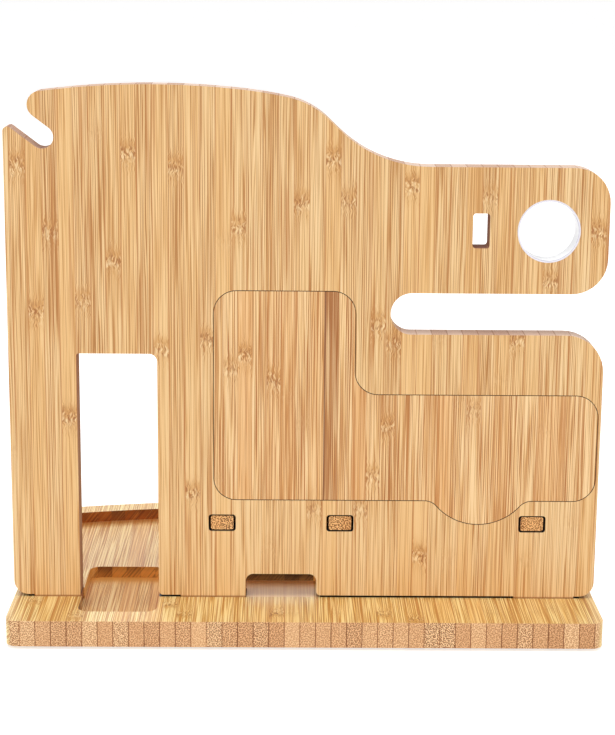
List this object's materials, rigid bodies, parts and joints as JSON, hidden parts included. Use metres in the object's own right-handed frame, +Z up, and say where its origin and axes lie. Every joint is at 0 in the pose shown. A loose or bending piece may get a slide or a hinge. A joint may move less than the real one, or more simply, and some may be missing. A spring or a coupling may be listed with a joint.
{
  "type": "charging station organizer",
  "caption": "Bamboo charging dock: a base tray, an upright board with a window, a watch arm, a hook and a flush rear cover over charging coils, and a plugged-in phone shelf.",
  "frame": {"origin": "middle of the footprint, at the bottom of the rubber feet on the table", "axes": "+X to the right as seen from the front, where the window is; the front, with the tray and the shelf, faces -Y; +Z up. The picture shows the rear, from +Y"},
  "size_m": [0.296, 0.187, 0.2743],
  "materials": {
    "bamboo": "satin lacquer over vertical-grain bamboo strips",
    "cover_bamboo": "satin lacquer over a thin bamboo sheet",
    "white_liner": "satin white plastic",
    "foot_rubber": "matte black rubber",
    "copper_wire": "enamelled copper wire",
    "ferrite": "matte sintered ferrite",
    "foam": "matte closed-cell foam",
    "lead_jacket": "flat twin lead with a red jacket",
    "circuit_laminate": "green solder mask",
    "screw_steel": "plain steel",
    "socket_steel": "plated steel",
    "black_plastic": "moulded black plastic",
    "ceramic": "fired ceramic"
  },
  "bodies": {
    "base": {"base_tray": "bamboo", "rubber_feet": "foot_rubber"},
    "upright": {"upright_board": "bamboo", "charger_cover": "cover_bamboo", "puck_liner": "white_liner", "phone_coil": "copper_wire", "phone_ferrite": "ferrite", "phone_foam": "foam", "phone_leads": "lead_jacket", "buds_coil": "copper_wire", "buds_ferrite": "ferrite", "buds_foam": "foam", "buds_leads": "lead_jacket", "circuit_board": "circuit_laminate", "board_screws": "screw_steel", "socket_shell": "socket_steel", "socket_tongue": "black_plastic", "power_inductor": "ferrite", "control_chip": "black_plastic", "bridge_chips": "black_plastic", "resonant_capacitors": "ceramic", "input_capacitors": "ceramic"},
    "shelf": {"phone_shelf": "bamboo"}
  },
  "joints": [
    {"name": "upright_lift", "type": "slide", "parent": "base", "child": "upright", "axis": [0, 0, 1], "range_m": [0, 0.03]},
    {"name": "shelf_pull", "type": "slide", "parent": "upright", "child": "shelf", "axis": [0, -1, 0], "range_m": [0, 0.04]}
  ]
}
